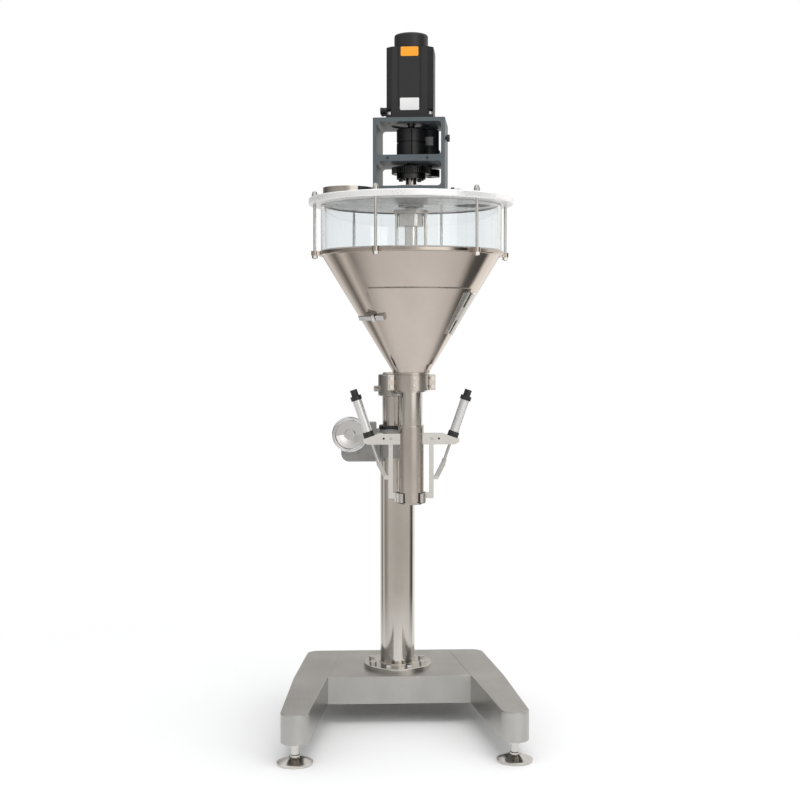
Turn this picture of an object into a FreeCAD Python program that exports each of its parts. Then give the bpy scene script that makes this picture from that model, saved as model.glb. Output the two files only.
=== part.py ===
"""Auger powder filler on a height-adjustable stand.

Millimetres, +Z up.  The origin is on the floor at the centre of the footprint.
The head (arm, hopper, drive) swivels about the column and is modelled about the filler axis.
"""
import FreeCAD, Part
import math
import os

os.makedirs("parts", exist_ok=True)
V = FreeCAD.Vector
UP = V(0, 0, 1)

# ---- clearances ----
RUN_GAP = 0.05          # radial running clearance of pins and shafts
SLIP_GAP = 0.3          # clearance between surfaces that slide past each other
FACE_GAP = 0.3          # side clearance between plates that turn on a pin

# ---- levelling feet ----
PAD_R = 48.0
PAD_RIM_H = 6.0
PAD_H = 19.0
STEM_R = 10.0
STEM_COLLAR_R = 13.0
STEM_COLLAR_H = 5.0
STEM_TOP = 108.0
LOCK_NUT_AF = 30.0
LOCK_NUT_H = 10.0
BOSS_R = 19.0

# ---- base ----
BEAM_Z = 58.0
BEAM_H = 80.0
BEAM_WALL = 4.0
BEAM_EDGE_R = 3.0
REAR_TO_COLUMN = 193.0
CROSSBAR_TO_COLUMN = 131.0
TIP_TO_COLUMN = 480.5
TIP_R = 37.5
TIP_HALF = 290.0
OUTER_HALF_REAR = 272.0
OUTER_HALF_MID = 305.0
INNER_HALF_MID = 207.0
REAR_CORNER_R = 35.0
REAR_FOOT_IN = 62.0
REAR_FOOT_HALF = 222.0

# ---- column ----
FLANGE_R = 100.0
FLANGE_T = 12.0
FLANGE_BOLTS = 8
FLANGE_PCD_R = 80.0
COLUMN_R = 51.0
COLUMN_WALL = 3.0
COLUMN_TOP = 848.0
GUIDE_LIP = 10.0
GUIDE_DEPTH = 70.0
LIFT_R = 44.5
LIFT_WALL = 3.0
LIFT_BOTTOM = 560.0
HUB_Z = 944.0
HUB_TOP = 1008.0
HUB_R = 57.0

# ---- handwheel lift ----
WHEEL_Z = 834.0
WHEEL_OUT = 141.0
WHEEL_R = 52.5
WHEEL_RIM_R = 6.0
WHEEL_SHAFT_R = 8.0
GEARBOX_HALF_DEPTH = 30.0
GEARBOX_BOTTOM = 752.0
GEARBOX_TOP = 866.0
GEARBOX_COVER_T = 5.0
WHEEL_STANDOFF = 18.0

# ---- head placing ----
HEAD_REACH = 231.0
HEAD_SWIVEL = 7.0
DRIVE_TURN = -7.0

# ---- filling tube and spout ----
TUBE_R = 31.75
TUBE_WALL = 2.0
TUBE_BOTTOM = 652.0
TUBE_TOP = 1003.0
SLEEVE_WALL = 4.0
SLEEVE_Z = 660.0
SLEEVE_TOP = 873.0
SLEEVE_BEAD = 3.0
HUB_NECK_R = 42.0
HUB_NECK_Z = 966.0
COLLAR_Z = 971.0
COLLAR_TOP = 1014.0
COLLAR_R = 52.0
COLLAR_EAR = 67.0
COLLAR_SPLIT = 2.0
COLLAR_EAR_HALF = 13.0

# ---- bag clamp ----
CLAMP_Z = 820.0
CLAMP_TOP = 850.0
CLAMP_HALF_DEPTH = 18.0
CLAMP_END = 134.0
JAW_PIVOT_X = 57.0
JAW_PIVOT_Z = 836.0
JAW_BAR_W = 12.0
JAW_BAR_T = 12.0
JAW_PIN_R = 3.0
JAW_PIN_DROP = 109.0
JAW_PIN_OUT = 14.0
JAW_BOTTOM = 668.0
JAW_SLACK = 1.0         # radial play of the link's lower hole, which is the open pivot
CYL_TILT = 19.0
CYL_SEAT_X = 116.0
CYL_SEAT_Z = 841.0
CYL_BARREL_R = 12.8
CYL_BARREL_L = 93.0
CYL_NOSE_R = 15.5
CYL_NOSE_L = 15.0
CYL_CAP_L = 12.0
CYL_PORT_R = 10.0
CYL_PORT_L = 18.0
CYL_BORE_R = 10.0
ROD_R = 4.0
ROD_TO_PIN = 82.5
EYE_R = 7.0
EYE_HALF = 3.7
LINK_T = 3.0
LINK_W = 12.0
PAD_GAP = 0.5
PAD_RUBBER = 4.0
PAD_HOLDER = 5.0
PAD_Z = 656.0
PAD_TOP = 684.0
PAD_SPAN = 110.0

# ---- hopper cone ----
CONE_Z = 1021.0
CONE_TOP = 1343.0
CONE_R_LOW = 51.0
CONE_R_TOP = 247.0
CONE_WALL = 2.0
RIM_H = 11.0
RIM_R = 256.0
DOOR_Z = 1046.0
DOOR_TOP = 1250.0
DOOR_SPAN = 95.0
DOOR_LAP = 1.8
DOOR_GAP = 0.3
SEAL_T = 1.7
SEAL_LAY = 0.1          # thickness of the adhesive under the seal
DOOR_T = 2.0
HINGE_R = 5.0
HINGE_PIN_R = 2.5
HINGE_HEIGHT = 9.0
KNUCKLE_GAP = 0.8
HINGE_AZ = 50.6
HINGE_Z = 1130.0
HINGE_TOP = 1240.0
HINGE_LEAF_SPAN = 8.0
HINGE_LEAF_GAP = 3.0
LATCH_Z = 1176.0
LATCH_PIN_R = 2.5
LATCH_HUB_R = 7.0

# ---- clear cylinder, lid, tie rods ----
CLEAR_R = 250.0
CLEAR_WALL = 8.0
GASKET_T = 3.0
LID_Z = 1482.0
LID_T = 18.0
LID_R = 283.0
ROD_COUNT = 6
TIE_R = 4.0
TIE_CIRCLE_R = 268.0
LUG_R = 10.0
LUG_H = 12.0
CAP_NUT_R = 8.0
CAP_NUT_H = 18.0
INLET_R = 70.0
INLET_WALL = 2.0
INLET_X = -170.0
INLET_Y = 46.0
INLET_UP = 32.0
COVER_X = 170.0
COVER_Y = -20.0
COVER_HOLE_R = 50.0
COVER_R = 56.0
COVER_T = 6.0

# ---- drive ----
PLATE_T = 17.0
PLATE_LEFT = 97.0
PLATE_RIGHT = 140.0
PLATE_HALF = 97.0
FRAME_W = 195.0
FRAME_D = 190.0
FRAME_H = 193.0
FRAME_SIDE = 10.5
FRAME_RAIL = 10.5
FRAME_MID = 17.0
FRAME_LOWER = 66.0
WINDOW_R = 9.0
SERVO_W = 130.0
SERVO_FLANGE_T = 12.0
SERVO_BODY_H = 183.0
SERVO_CHAMFER = 16.0
SERVO_SCREW_R = 4.0
SERVO_SCREW_IN = 10.0
SERVO_POCKET_R = 8.5
ENCODER_R = 46.5
ENCODER_H = 43.0
COUPLING_R = 40.0
COUPLING_L = 74.0
DRIVE_SHAFT_R = 10.0
QUILL_R = 15.0
HOUSING_R = 35.0
HOUSING_BORE_R = 24.0
HUB_CYL_R = 34.0
HUB_CYL_Z = 1424.0
HUB_FLANGE_R = 48.0
HUB_FLANGE_Z = 1458.0
HUB_FLANGE_T = 10.0
GEAR_MODULE = 2.0
GEAR_TEETH = 52
PINION_TEETH = 26
GEAR_Z = 1568.0
GEAR_T = 18.0
BACKLASH = 0.35
PINION_AZ = 52.0
PINION_SHAFT_R = 6.0
MOTOR_R = 29.0
AUGER_SLEEVE_R = 18.0
AUGER_CORE_R = 10.0
AUGER_R = 29.0
AUGER_PITCH = 50.0
AUGER_TURNS = 7
FLIGHT_T = 4.0
STIR_BAR_R = 4.5
STIR_BAR_AT = 40.0
SCRAPER_GAP = 6.0

# ---- derived places ----
BEAM_TOP = BEAM_Z + BEAM_H
COLUMN_Y = (TIP_TO_COLUMN + PAD_R - REAR_TO_COLUMN) / 2.0
FILLER_X = HEAD_REACH * math.sin(math.radians(HEAD_SWIVEL))
FILLER_Y = COLUMN_Y - HEAD_REACH * math.cos(math.radians(HEAD_SWIVEL))
FLANGE_TOP = BEAM_TOP + FLANGE_T
CONE_SIN = (CONE_R_TOP - CONE_R_LOW) / math.hypot(CONE_R_TOP - CONE_R_LOW, CONE_TOP - CONE_Z)
CONE_COS = (CONE_TOP - CONE_Z) / math.hypot(CONE_R_TOP - CONE_R_LOW, CONE_TOP - CONE_Z)
RIM_TOP = CONE_TOP + RIM_H
LID_TOP = LID_Z + LID_T
PLATE_TOP = LID_TOP + PLATE_T
FRAME_TOP = PLATE_TOP + FRAME_H
FLOOR_TOP = PLATE_TOP + FRAME_RAIL
MID_Z = FLOOR_TOP + FRAME_LOWER
MID_TOP = MID_Z + FRAME_MID
GEAR_PITCH_R = GEAR_MODULE * GEAR_TEETH / 2.0
PINION_PITCH_R = GEAR_MODULE * PINION_TEETH / 2.0
PINION_AT = GEAR_PITCH_R + PINION_PITCH_R
SLEEVE_R = TUBE_R + SLIP_GAP + SLEEVE_WALL
SERVO_TOP = FRAME_TOP + SERVO_FLANGE_T + SERVO_BODY_H
ROD_DIR = V(math.sin(math.radians(CYL_TILT)), 0, math.cos(math.radians(CYL_TILT)))
CYL_SEAT = V(CYL_SEAT_X, 0, CYL_SEAT_Z)
ROD_PIN = CYL_SEAT - ROD_DIR * ROD_TO_PIN
JAW_PIN = V(JAW_PIVOT_X + JAW_PIN_OUT, 0, JAW_PIVOT_Z - JAW_PIN_DROP)
COUPLING_Z = MID_TOP + 6.0


# ---- shape helpers ----
def cylinder(radius, z0, z1, x=0.0, y=0.0):
    return Part.makeCylinder(radius, z1 - z0, V(x, y, z0))


def ring(outer, inner, z0, z1, x=0.0, y=0.0):
    return cylinder(outer, z0, z1, x, y).cut(cylinder(inner, z0 - 1, z1 + 1, x, y))


def rod_between(start, end, radius):
    return Part.makeCylinder(radius, (end - start).Length, start, end - start)


def box(x0, x1, y0, y1, z0, z1):
    return Part.makeBox(x1 - x0, y1 - y0, z1 - z0, V(x0, y0, z0))


def prism(points, height):
    """Extrude a closed flat outline, given as vectors, along a vector."""
    return Part.Face(Part.makePolygon(points + [points[0]])).extrude(height)


def revolve_rz(points, degrees=360.0, start=0.0):
    """Revolve (r, z) points about Z.  Azimuth 0 faces front (-Y); positive goes to +X."""
    outline = [V(r, 0, z) for r, z in points]
    solid = Part.Face(Part.makePolygon(outline + [outline[0]])).revolve(V(0, 0, 0), UP, degrees)
    solid.rotate(V(0, 0, 0), UP, start - 90.0)
    return solid


def around(radius, azimuth, z=0.0):
    """A point on a circle about Z; azimuth 0 faces front, positive to the right."""
    a = math.radians(azimuth)
    return V(radius * math.sin(a), -radius * math.cos(a), z)


def hexagon(across_flats, z0, height, x=0.0, y=0.0):
    corner = across_flats / math.sqrt(3.0)
    angles = [math.radians(60 * i) for i in range(6)]
    points = [V(x + corner * math.cos(a), y + corner * math.sin(a), z0) for a in angles]
    return prism(points, V(0, 0, height))


def fuse(shapes):
    whole = shapes[0]
    for shape in shapes[1:]:
        whole = whole.fuse(shape)
    return whole.removeSplitter()


def mirror_x(shape):
    return shape.mirror(V(0, 0, 0), V(1, 0, 0))


def turned(shape, degrees):
    copy = shape.copy()
    copy.rotate(V(0, 0, 0), UP, degrees)
    return copy


def on_column(shape):
    copy = shape.copy()
    copy.translate(V(0, COLUMN_Y, 0))
    return copy


def on_filler(shape, turn=HEAD_SWIVEL):
    copy = turned(shape, turn)
    copy.translate(V(FILLER_X, FILLER_Y, 0))
    return copy


def save(name, *shapes):
    solids = [solid for shape in shapes for solid in shape.Solids]
    shape = solids[0] if len(solids) == 1 else Part.makeCompound(solids)
    assert shape.isValid(), name
    shape.exportStep("parts/" + name + ".step")


def cap_screw(radius, length, head_z, x=0.0, y=0.0):
    """Socket cap screw standing head-up; head_z is the seat under its head."""
    head = cylinder(radius * 1.6, head_z, head_z + radius * 2, x, y)
    socket = hexagon(radius * 1.5, head_z + radius, radius + 1, x, y)
    return head.cut(socket).fuse(cylinder(radius, head_z - length, head_z, x, y))


def hex_bolt(radius, length, head_z, x=0.0, y=0.0):
    shank = cylinder(radius, head_z - length, head_z, x, y)
    return hexagon(radius * 3.0, head_z, radius * 1.3, x, y).fuse(shank)


# ---- base ----
def tangent_point(point, centre, radius, side):
    """Where a line from point touches a circle; side +1 is the outer touch, -1 the inner one."""
    away = centre - point
    lean = math.asin(radius / away.Length)
    angle = math.atan2(away.y, away.x) + side * lean
    reach = math.sqrt(away.Length ** 2 - radius ** 2)
    return point + V(math.cos(angle), math.sin(angle), 0) * reach


TIP_CENTRE = V(TIP_HALF, -TIP_TO_COLUMN, 0)
ARM_INNER_MID = V(INNER_HALF_MID, -CROSSBAR_TO_COLUMN, 0)
ARM_OUTER_MID = V(OUTER_HALF_MID, -CROSSBAR_TO_COLUMN, 0)
ARM_INNER_TIP = tangent_point(ARM_INNER_MID, TIP_CENTRE, TIP_R, -1)
ARM_OUTER_TIP = tangent_point(ARM_OUTER_MID, TIP_CENTRE, TIP_R, 1)
INNER_SLOPE = (ARM_INNER_TIP.x - INNER_HALF_MID) / (-ARM_INNER_TIP.y - CROSSBAR_TO_COLUMN)


def inner_half_at(y):
    """Half the gap between the arms at a distance y behind the column axis."""
    return INNER_HALF_MID - INNER_SLOPE * (y + CROSSBAR_TO_COLUMN)


def arm_outline(inset):
    """Plan of the right arm, drawn in by inset."""
    rear = REAR_TO_COLUMN - inset
    inner_rear = V(inner_half_at(rear) + inset, rear, 0)
    inner_tip = ARM_INNER_TIP + (TIP_CENTRE - ARM_INNER_TIP) * (inset / TIP_R)
    outer_tip = ARM_OUTER_TIP + (TIP_CENTRE - ARM_OUTER_TIP) * (inset / TIP_R)
    outer_mid = V(OUTER_HALF_MID - inset, -CROSSBAR_TO_COLUMN, 0)
    front = TIP_CENTRE - V(0, TIP_R - inset, 0)
    corner_r = REAR_CORNER_R - inset
    corner = V(OUTER_HALF_REAR - inset, rear, 0)
    before = V(corner.x - corner_r, rear, 0)
    after = V(corner.x + 2.0, rear - corner_r, 0)
    between = corner + V(-0.29 * corner_r + 0.6, -0.29 * corner_r, 0)
    edges = [
        Part.makeLine(inner_rear, before),
        Part.Arc(before, between, after).toShape(),
        Part.makeLine(after, outer_mid),
        Part.makeLine(outer_mid, outer_tip),
        Part.Arc(outer_tip, front, inner_tip).toShape(),
        Part.makeLine(inner_tip, inner_rear),
    ]
    return Part.Face(Part.Wire(edges))


def top_outline_edges(shape, z):
    return [e for e in shape.Edges if e.BoundBox.ZMin > z - 0.01]


def base_arm():
    arm = arm_outline(0.0).extrude(V(0, 0, BEAM_H))
    arm.translate(V(0, 0, BEAM_Z))
    arm = arm.makeFillet(BEAM_EDGE_R, top_outline_edges(arm, BEAM_TOP))
    hollow = arm_outline(BEAM_WALL).extrude(V(0, 0, BEAM_H - BEAM_WALL + 1))
    hollow.translate(V(0, 0, BEAM_Z - 1))
    return arm.cut(hollow)


def crossbar_plan(front, rear, z):
    return [V(-inner_half_at(front), front, z), V(inner_half_at(front), front, z),
            V(inner_half_at(rear), rear, z), V(-inner_half_at(rear), rear, z)]


def base_crossbar():
    front = -CROSSBAR_TO_COLUMN
    beam = prism(crossbar_plan(front, REAR_TO_COLUMN, BEAM_Z), V(0, 0, BEAM_H))
    folds = [e for e in top_outline_edges(beam, BEAM_TOP) if e.BoundBox.YLength < 0.01]
    beam = beam.makeFillet(BEAM_EDGE_R, folds)
    hollow = box(-OUTER_HALF_MID, OUTER_HALF_MID, front + BEAM_WALL, REAR_TO_COLUMN - BEAM_WALL,
                 BEAM_Z - 1, BEAM_TOP - BEAM_WALL)
    beam = beam.cut(hollow)
    for i in range(FLANGE_BOLTS):
        spot = around(FLANGE_PCD_R, 360.0 / FLANGE_BOLTS * (i + 0.5))
        beam = beam.cut(cylinder(6.3, BEAM_TOP - BEAM_WALL - 1, BEAM_TOP + 1, spot.x, spot.y))
    return beam


FOOT_SPOTS = {
    "front_left": V(-TIP_HALF, -TIP_TO_COLUMN, 0),
    "front_right": V(TIP_HALF, -TIP_TO_COLUMN, 0),
    "rear_left": V(-REAR_FOOT_HALF, REAR_TO_COLUMN - REAR_FOOT_IN, 0),
    "rear_right": V(REAR_FOOT_HALF, REAR_TO_COLUMN - REAR_FOOT_IN, 0),
}


def foot():
    pad = [(0, 0), (PAD_R, 0), (PAD_R, PAD_RIM_H), (PAD_R - 3, PAD_RIM_H + 2),
           (STEM_COLLAR_R + 3, PAD_H), (0, PAD_H)]
    stem = [(0, PAD_H), (STEM_COLLAR_R, PAD_H), (STEM_COLLAR_R, PAD_H + STEM_COLLAR_H),
            (STEM_R, PAD_H + STEM_COLLAR_H + 1.5), (STEM_R, STEM_TOP), (0, STEM_TOP)]
    return Part.makeCompound([revolve_rz(pad), revolve_rz(stem)])


def at(shape, spot):
    copy = shape.copy()
    copy.translate(spot)
    return copy


def build_base():
    arm = base_arm()
    save("base_arm_right", on_column(arm))
    save("base_arm_left", on_column(mirror_x(arm)))
    save("base_crossbar", on_column(base_crossbar()))
    bore = cylinder(STEM_R + RUN_GAP, 0, BEAM_TOP)
    nut = hexagon(LOCK_NUT_AF, BEAM_Z - LOCK_NUT_H, LOCK_NUT_H).cut(bore)
    boss = cylinder(BOSS_R, BEAM_Z, BEAM_TOP - BEAM_WALL).cut(bore)
    fixings = [at(piece, spot) for spot in FOOT_SPOTS.values() for piece in (nut, boss)]
    save("foot_nuts", *[on_column(piece) for piece in fixings])
    for name, spot in FOOT_SPOTS.items():
        save("foot_" + name, on_column(at(foot(), spot)))


# ---- column and lift ----
def build_column():
    bolts = []
    flange = cylinder(FLANGE_R, BEAM_TOP, FLANGE_TOP)
    flange = flange.makeFillet(2.0, [e for e in flange.Edges if e.BoundBox.ZMin > FLANGE_TOP - 0.01])
    for i in range(FLANGE_BOLTS):
        spot = around(FLANGE_PCD_R, 360.0 / FLANGE_BOLTS * (i + 0.5))
        flange = flange.cut(cylinder(6.3, BEAM_TOP - 1, FLANGE_TOP + 1, spot.x, spot.y))
        bolts.append(hex_bolt(6.0, FLANGE_T + BEAM_WALL + 12.0, FLANGE_TOP, spot.x, spot.y))
    save("column_flange", on_column(flange))
    save("column_bolts", *[on_column(bolt) for bolt in bolts])
    save("column_tube", on_column(ring(COLUMN_R, COLUMN_R - COLUMN_WALL, FLANGE_TOP, COLUMN_TOP)))
    tube_bore = COLUMN_R - COLUMN_WALL - RUN_GAP
    guide = [(LIFT_R + RUN_GAP, COLUMN_TOP - GUIDE_DEPTH), (tube_bore, COLUMN_TOP - GUIDE_DEPTH),
             (tube_bore, COLUMN_TOP), (COLUMN_R + 4, COLUMN_TOP),
             (COLUMN_R + 4, COLUMN_TOP + GUIDE_LIP - 2), (COLUMN_R + 2, COLUMN_TOP + GUIDE_LIP),
             (LIFT_R + RUN_GAP, COLUMN_TOP + GUIDE_LIP)]
    save("column_guide", on_column(revolve_rz(guide)))
    cap = revolve_rz([(0, HUB_TOP), (LIFT_R, HUB_TOP), (LIFT_R, HUB_TOP + 3), (LIFT_R - 3, HUB_TOP + 6),
                      (0, HUB_TOP + 6)])
    save("lift_tube", on_column(ring(LIFT_R, LIFT_R - LIFT_WALL, LIFT_BOTTOM, HUB_TOP)), on_column(cap))


def gearbox_housing():
    """Closed housing clamped to the left of the column; its wheel shaft runs front to back."""
    left = -WHEEL_OUT - 26.0
    body = box(left, 0, -GEARBOX_HALF_DEPTH, GEARBOX_HALF_DEPTH, GEARBOX_BOTTOM, GEARBOX_TOP)
    edges = [e for e in body.Edges if e.BoundBox.XMax < left + 0.01 and e.BoundBox.YLength > 1]
    body = body.makeFillet(24.0, edges)
    sleeve_top = COLUMN_TOP - 2.0
    body = body.cut(box(-COLUMN_R - 12, 1, -60, 60, sleeve_top, GEARBOX_TOP + 1))
    body = body.fuse(cylinder(COLUMN_R + 10, GEARBOX_BOTTOM + 12, sleeve_top))
    body = body.fuse(Part.makeCylinder(17.0, 8.0, V(-WHEEL_OUT, -GEARBOX_HALF_DEPTH, WHEEL_Z), V(0, -1, 0)))
    body = body.cut(cylinder(COLUMN_R + 0.05, 0, GEARBOX_TOP + 10))
    reach = GEARBOX_HALF_DEPTH * 2 + 10
    shaft_hole = Part.makeCylinder(WHEEL_SHAFT_R + RUN_GAP, reach, V(-WHEEL_OUT, 15.0, WHEEL_Z), V(0, -1, 0))
    return body.cut(shaft_hole).removeSplitter()


def gearbox_cover():
    x0 = -WHEEL_OUT + 26.0
    x1 = -COLUMN_R - 14.0
    y1 = -GEARBOX_HALF_DEPTH
    plate = box(x0, x1, y1 - GEARBOX_COVER_T, y1, GEARBOX_BOTTOM + 14, COLUMN_TOP - 14)
    corners = [e for e in plate.Edges if e.BoundBox.XLength < 0.01 and e.BoundBox.ZLength < 0.01]
    return plate.makeFillet(6.0, corners)


def handwheel():
    """Dished disc wheel with a round rim, on an axis that points to the front."""
    rim = Part.makeTorus(WHEEL_R - WHEEL_RIM_R, WHEEL_RIM_R, V(0, 0, 0), UP)
    web = revolve_rz([(WHEEL_SHAFT_R, -8), (16, -8), (30, -4), (WHEEL_R - WHEEL_RIM_R, -2.5),
                      (WHEEL_R - WHEEL_RIM_R, 1.5), (30, 0), (16, -2), (14, 8), (WHEEL_SHAFT_R, 8)])
    wheel = web.fuse(rim).removeSplitter()
    wheel.rotate(V(0, 0, 0), V(1, 0, 0), 90.0)
    return wheel


def build_lift():
    save("lift_gearbox", on_column(gearbox_housing()), on_column(gearbox_cover()))
    front = -GEARBOX_HALF_DEPTH - 8.0 - WHEEL_STANDOFF
    centre = V(-WHEEL_OUT, front, WHEEL_Z)
    wheel = at(handwheel(), centre)
    shaft = rod_between(centre + V(0, -9, 0), centre + V(0, WHEEL_STANDOFF + 40, 0), WHEEL_SHAFT_R)
    save("handwheel", on_column(wheel), on_column(shaft))


# ---- head support ----
def head_arm():
    """Clamp hub on the lift tube, web, and the rear half of the hopper collar (about the filler axis)."""
    hub_y = HEAD_REACH
    web_z0 = HUB_Z + 8.0
    web = box(-28, 28, 30, hub_y - 30, web_z0, HUB_TOP - 2)
    web = web.makeFillet(5.0, [e for e in web.Edges if e.BoundBox.YLength > 1])
    lighten = box(-14, 14, 75, hub_y - 75, web_z0 - 1, HUB_TOP - 12)
    hub = cylinder(HUB_R, HUB_Z, HUB_TOP, 0, hub_y)
    hub = hub.makeFillet(4.0, [e for e in hub.Edges if e.BoundBox.ZLength < 0.01])
    half = ring(COLLAR_R, HUB_NECK_R, COLLAR_Z, COLLAR_TOP)
    ears = box(-COLLAR_EAR, COLLAR_EAR, 0, COLLAR_EAR_HALF, COLLAR_Z, COLLAR_TOP)
    body = fuse([web.cut(lighten), hub, half, ears])
    body = body.cut(box(-90, 90, -90, COLLAR_SPLIT / 2, HUB_Z - 1, CONE_Z))
    body = body.cut(cylinder(HUB_NECK_R + RUN_GAP, HUB_Z - 1, CONE_Z))
    body = body.cut(cylinder(LIFT_R + RUN_GAP, HUB_Z - 1, CONE_Z, 0, hub_y))
    body = body.cut(box(-HUB_R - 1, -LIFT_R + 4, hub_y - 1.5, hub_y + 1.5, HUB_Z - 1, HUB_TOP + 1))
    return body.removeSplitter()


def collar_bolts():
    bolts = []
    for side in (-1, 1):
        x = side * (COLLAR_EAR - 9.0)
        for z in (COLLAR_Z + 10.0, COLLAR_TOP - 10.0):
            shank = rod_between(V(x, -COLLAR_EAR_HALF, z), V(x, COLLAR_EAR_HALF + 6, z), 3.5)
            head = rod_between(V(x, -COLLAR_EAR_HALF - 6, z), V(x, -COLLAR_EAR_HALF, z), 5.5)
            bolts.append(head.fuse(shank).removeSplitter())
    return bolts


def collar_cap():
    half = ring(COLLAR_R, HUB_NECK_R + RUN_GAP, COLLAR_Z, COLLAR_TOP)
    ears = box(-COLLAR_EAR, COLLAR_EAR, -COLLAR_EAR_HALF, 0, COLLAR_Z, COLLAR_TOP)
    ears = ears.cut(cylinder(HUB_NECK_R + RUN_GAP, 0, CONE_Z))
    cap = half.fuse(ears)
    return cap.cut(box(-90, 90, -COLLAR_SPLIT / 2, 90, HUB_Z, CONE_Z)).removeSplitter()


def build_head_support():
    arm = head_arm()
    cap = collar_cap()
    bolts = collar_bolts()
    for bolt in bolts:
        arm = arm.cut(bolt)
        cap = cap.cut(bolt)
    save("head_arm", on_filler(arm))
    save("collar_cap", on_filler(cap))
    x = -HUB_R + 1.0
    knob = rod_between(V(x, HEAD_REACH, HUB_Z + 22), V(x - 14, HEAD_REACH, HUB_Z + 22), 9.0)
    knob = knob.cut(cylinder(HUB_R + 0.05, HUB_Z, HUB_TOP, 0, HEAD_REACH))
    clamp_bolts = [on_filler(bolt) for bolt in bolts + [knob]]
    save("head_bolts", *clamp_bolts, *[on_drive(screw) for screw in servo_screws()])
    neck = [(TUBE_R + 0.05, HUB_NECK_Z), (HUB_NECK_R, HUB_NECK_Z), (HUB_NECK_R, COLLAR_TOP + 1),
            (CONE_R_LOW, COLLAR_TOP + 1), (CONE_R_LOW, CONE_Z), (CONE_R_LOW - CONE_WALL, CONE_Z),
            (TUBE_R - TUBE_WALL, TUBE_TOP), (TUBE_R + 0.05, TUBE_TOP)]
    save("tube_hub", on_filler(revolve_rz(neck)))
    save("filler_tube", on_filler(ring(TUBE_R, TUBE_R - TUBE_WALL, TUBE_BOTTOM, TUBE_TOP)))
    inner = TUBE_R + SLIP_GAP
    sleeve = [(inner, SLEEVE_Z), (SLEEVE_R, SLEEVE_Z), (SLEEVE_R, SLEEVE_TOP - SLEEVE_BEAD),
              (SLEEVE_R - 1, SLEEVE_TOP), (inner, SLEEVE_TOP)]
    save("spout_sleeve", on_filler(revolve_rz(sleeve)))


# ---- bag clamp (right side; the left is its mirror image) ----
def clamp_arm():
    """Bracket from the spout sleeve out to the sloped seat of the air cylinder."""
    top_x = CYL_SEAT_X - (CLAMP_TOP - CYL_SEAT_Z) / math.tan(math.radians(CYL_TILT))
    end_z = CYL_SEAT_Z - (CLAMP_END - CYL_SEAT_X) * math.tan(math.radians(CYL_TILT))
    y = -CLAMP_HALF_DEPTH
    outline = [V(SLEEVE_R - 6, y, CLAMP_Z), V(CLAMP_END - 12, y, CLAMP_Z), V(CLAMP_END, y, CLAMP_Z + 7),
               V(CLAMP_END, y, end_z), V(top_x, y, CLAMP_TOP), V(SLEEVE_R - 6, y, CLAMP_TOP)]
    arm = prism(outline, V(0, CLAMP_HALF_DEPTH * 2, 0))
    arm = arm.cut(cylinder(SLEEVE_R, CLAMP_Z - 1, CLAMP_TOP + 1))
    half_slot = JAW_BAR_T / 2 + FACE_GAP
    slot = box(JAW_PIVOT_X - 7.5, JAW_PIVOT_X + 14, -half_slot, half_slot, CLAMP_Z - 1, JAW_PIVOT_Z + 8)
    arm = arm.cut(slot)
    pin_hole = rod_between(V(JAW_PIVOT_X, y - 1, JAW_PIVOT_Z), V(JAW_PIVOT_X, -y + 1, JAW_PIVOT_Z), JAW_PIN_R)
    rod_hole = rod_between(CYL_SEAT - ROD_DIR * 40, CYL_SEAT + ROD_DIR * 10, ROD_R + 2.5)
    return arm.cut(pin_hole).cut(rod_hole).removeSplitter()


def jaw():
    """Bar with its pivot eye, the ear for the link pin and the curved pad holder."""
    half = JAW_BAR_T / 2
    x0 = JAW_PIVOT_X - JAW_BAR_W / 2
    x1 = JAW_PIVOT_X + JAW_BAR_W / 2
    bar = box(x0, x1, -half, half, JAW_BOTTOM, JAW_PIVOT_Z)
    eye = rod_between(V(JAW_PIVOT_X, -half, JAW_PIVOT_Z), V(JAW_PIVOT_X, half, JAW_PIVOT_Z), JAW_BAR_W / 2)
    ear = box(x1 - 3, JAW_PIN.x, -EYE_HALF, EYE_HALF, JAW_PIN.z - 6, JAW_PIN.z + 6)
    ear_end = rod_between(JAW_PIN - V(0, EYE_HALF, 0), JAW_PIN + V(0, EYE_HALF, 0), 6.0)
    holder_r = SLEEVE_R + PAD_GAP + PAD_RUBBER
    outer_r = holder_r + PAD_HOLDER
    section = [(holder_r, PAD_Z + 3), (outer_r, PAD_Z + 3), (outer_r, PAD_TOP), (holder_r, PAD_TOP)]
    holder = revolve_rz(section, PAD_SPAN, 90 - PAD_SPAN / 2)
    foot_block = box(outer_r - 3, x1, -half, half, JAW_BOTTOM, PAD_TOP)
    body = fuse([bar, eye, ear, ear_end, foot_block, holder])
    pivot = V(JAW_PIVOT_X, 0, JAW_PIVOT_Z)
    pivot_hole = rod_between(pivot - V(0, 20, 0), pivot + V(0, 20, 0), JAW_PIN_R + RUN_GAP)
    link_hole = rod_between(JAW_PIN - V(0, 20, 0), JAW_PIN + V(0, 20, 0), JAW_PIN_R)
    body = body.cut(pivot_hole).cut(link_hole).removeSplitter()
    return body.cut(cylinder(holder_r, 0, PAD_TOP + 1))


def jaw_rubber():
    inner = SLEEVE_R + PAD_GAP
    outer = inner + PAD_RUBBER
    return revolve_rz([(inner, PAD_Z), (outer, PAD_Z), (outer, PAD_TOP), (inner, PAD_TOP)],
                      PAD_SPAN - 4, 90 - PAD_SPAN / 2 + 2)


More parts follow.
